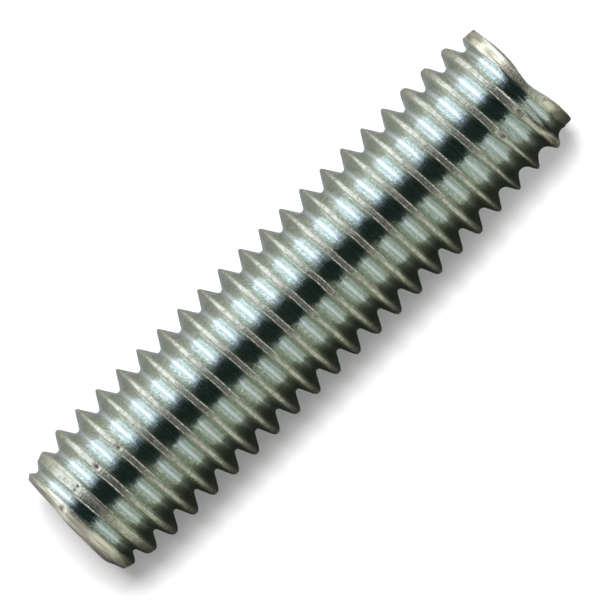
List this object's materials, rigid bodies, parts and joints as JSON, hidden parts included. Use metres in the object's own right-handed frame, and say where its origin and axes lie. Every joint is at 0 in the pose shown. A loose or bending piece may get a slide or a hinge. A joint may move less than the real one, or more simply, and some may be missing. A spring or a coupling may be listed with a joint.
{
  "type": "threaded rod",
  "caption": "Short zinc-plated steel rod with one right-hand thread along its whole length, used as a headless stud or spacer between nuts or tapped holes.",
  "frame": {"origin": "centre of the lower end face, on the rod's axis, with the rod standing on that end", "axes": "+Z along the rod's axis from the lower end to the upper end; +X and +Y square to it, with a thread crest crossing the lower end face at 191 degrees round from +X"},
  "size_m": [0.0078, 0.0078, 0.0318],
  "materials": {
    "zinc_plated_steel": "bright zinc plating with a pale yellow-green tint, slightly worn on the crests"
  },
  "bodies": {
    "root": {"threaded_rod": "zinc_plated_steel"}
  },
  "joints": []
}
